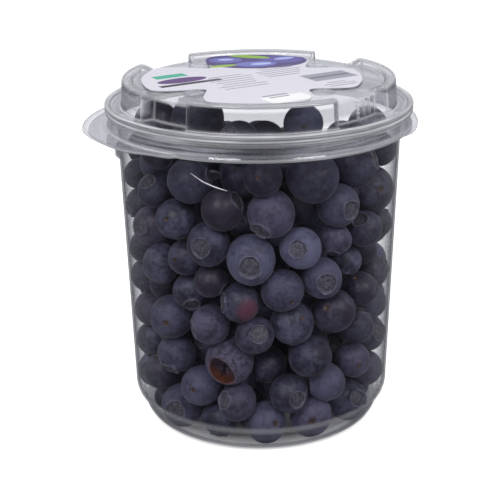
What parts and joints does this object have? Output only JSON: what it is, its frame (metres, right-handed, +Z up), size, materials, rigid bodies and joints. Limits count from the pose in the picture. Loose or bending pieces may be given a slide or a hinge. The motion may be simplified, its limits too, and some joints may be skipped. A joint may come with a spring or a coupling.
{
  "type": "punnet of blueberries",
  "caption": "Round clear plastic punnet of blueberries, with a pressed-on clear lid that has a raised crown, stacking lugs, pull tabs and a lobed paper label.",
  "frame": {"origin": "centre of the tub's flat base, on the surface that it stands on", "axes": "+Z up along the tub's axis, the front with the split berry at -Y, the wide pull tab at -X"},
  "size_m": [0.1237, 0.1136, 0.1314],
  "materials": {
    "clear_tub": "clear thermoformed sheet, glossy",
    "clear_lid": "clear thermoformed sheet, glossy",
    "label_paper": "coated white label with plain printed fields",
    "berry_skin": "dark blue fruit skin with a dull waxy bloom"
  },
  "bodies": {
    "root": {"tub": "clear_tub", "lid": "clear_lid", "label": "label_paper", "berries": "berry_skin"}
  },
  "joints": []
}
